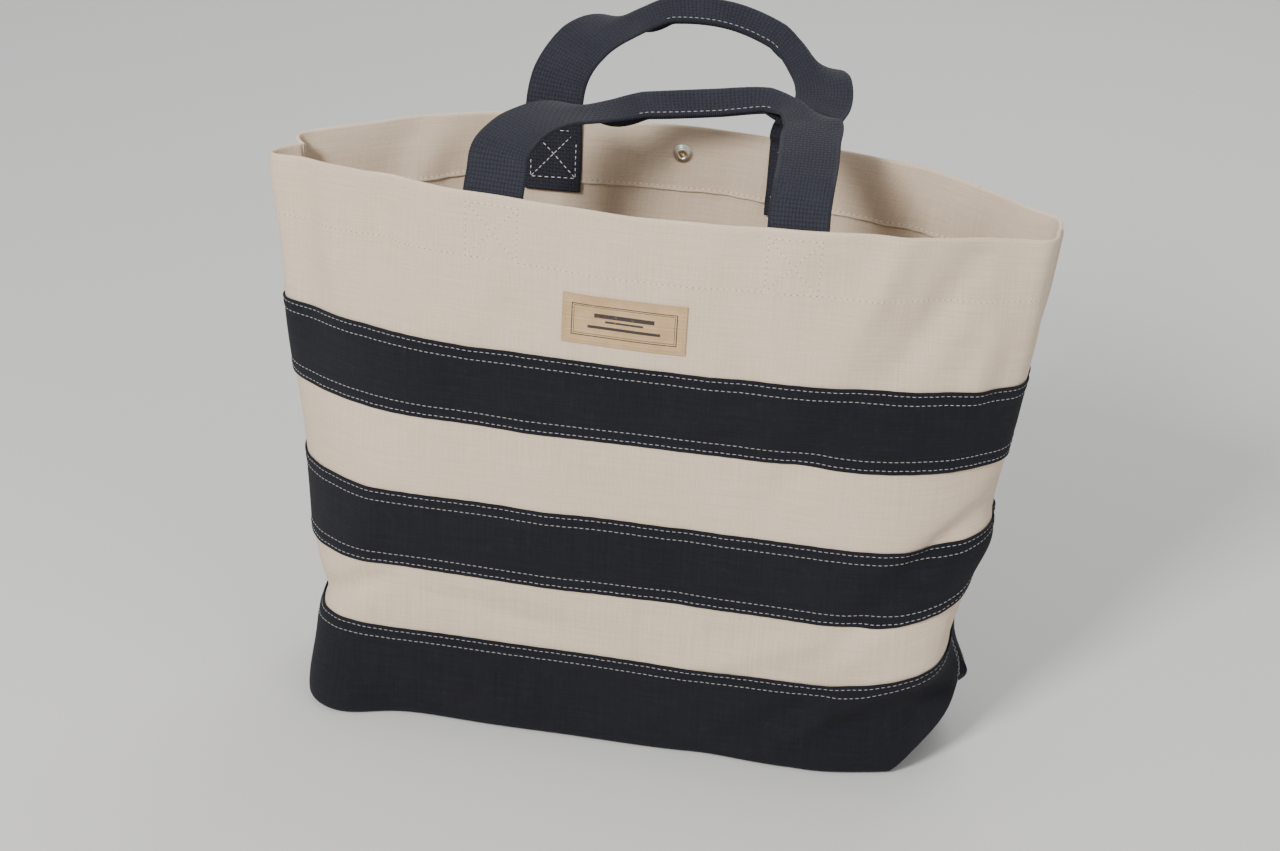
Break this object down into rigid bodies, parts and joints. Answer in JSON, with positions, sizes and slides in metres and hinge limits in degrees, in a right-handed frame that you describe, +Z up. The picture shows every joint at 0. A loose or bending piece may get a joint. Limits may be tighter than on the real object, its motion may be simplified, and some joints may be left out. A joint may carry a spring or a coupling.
{
  "type": "canvas tote bag",
  "caption": "Open-topped tote of heavy natural canvas with navy bands and boot, boxed bottom, webbing handles that fold over the rim and a snap in the hem.",
  "frame": {"origin": "middle of the flat underside, on the surface the bag stands on", "axes": "+Z up, X along the width of the bag, -Y towards the front face with the cloth patch"},
  "size_m": [0.505, 0.2239, 0.4608],
  "materials": {
    "natural_canvas": "matte heavy cotton canvas",
    "navy_canvas": "matte heavy cotton canvas",
    "navy_webbing": "ribbed cotton webbing",
    "patch_cloth": "smooth coated cotton",
    "nickel": "polished nickel plate"
  },
  "bodies": {
    "root": {"boot": "navy_canvas", "front_panel": "natural_canvas", "back_panel": "natural_canvas", "front_hem": "natural_canvas", "back_hem": "natural_canvas", "front_lower_band": "navy_canvas", "front_upper_band": "navy_canvas", "back_lower_band": "navy_canvas", "back_upper_band": "navy_canvas", "cloth_patch": "patch_cloth", "front_handle_left_end": "navy_webbing", "front_handle_right_end": "navy_webbing", "back_handle_left_end": "navy_webbing", "back_handle_right_end": "navy_webbing", "snap_stud": "nickel", "snap_stud_ring": "nickel", "snap_socket": "nickel", "snap_socket_ring": "nickel"},
    "front_handle": {"front_handle_loop": "navy_webbing"},
    "back_handle": {"back_handle_loop": "navy_webbing"}
  },
  "joints": [
    {"name": "front_handle_fold", "type": "hinge", "parent": "root", "child": "front_handle", "pos_m": [0, -0.06485, 0.396], "axis": [1, 0, 0], "range_deg": [-6, 120]},
    {"name": "back_handle_fold", "type": "hinge", "parent": "root", "child": "back_handle", "pos_m": [0, 0.06485, 0.396], "axis": [1, 0, 0], "range_deg": [-80, 30]}
  ]
}
